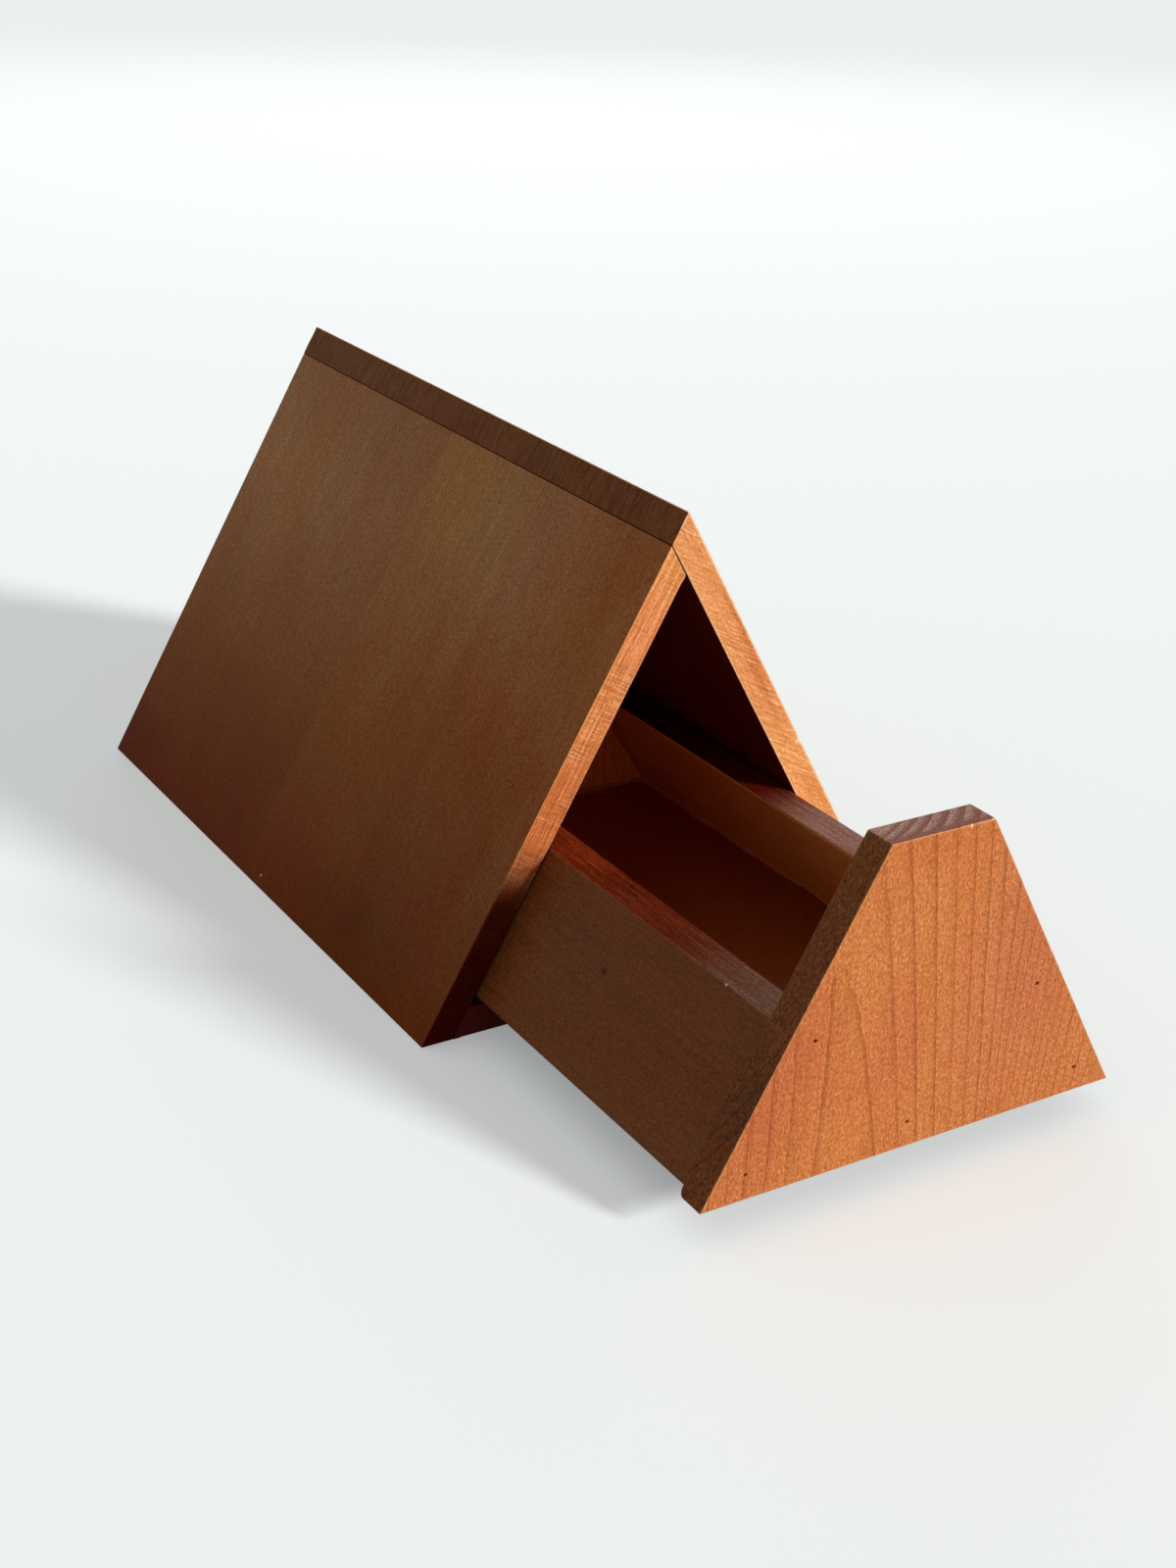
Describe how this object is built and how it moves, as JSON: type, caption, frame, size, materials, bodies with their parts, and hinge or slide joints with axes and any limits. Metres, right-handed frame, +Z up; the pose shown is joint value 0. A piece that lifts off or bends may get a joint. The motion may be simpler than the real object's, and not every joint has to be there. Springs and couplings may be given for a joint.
{
  "type": "a-frame desk letter box",
  "caption": "Triangular wooden desk box lying along its length, with a slope-sided drawer that slides out of one end.",
  "frame": {"origin": "middle of the case's underside, on the surface that the box stands on", "axes": "+Z up, -Y out of the mouth in the direction that the drawer opens, +X to the right of someone facing the mouth"},
  "size_m": [0.1652, 0.357, 0.1462],
  "materials": {
    "case_wood": "reddish brown stain under a satin varnish",
    "front_wood": "orange brown stain under a satin varnish",
    "drawer_wood": "reddish brown stain under a thin varnish",
    "brad_steel": "dulled steel wire"
  },
  "bodies": {
    "case": {"left_panel": "case_wood", "right_panel": "case_wood", "bottom_board": "case_wood", "back_panel": "case_wood"},
    "drawer": {"drawer_front": "front_wood", "drawer_side_left": "drawer_wood", "drawer_side_right": "drawer_wood", "drawer_back": "drawer_wood", "drawer_floor": "drawer_wood", "front_brads": "brad_steel", "rear_brads": "brad_steel"}
  },
  "joints": [
    {"name": "drawer_slide", "type": "slide", "parent": "case", "child": "drawer", "axis": [0, -1, 0], "range_m": [-0.1265, 0.104]}
  ]
}
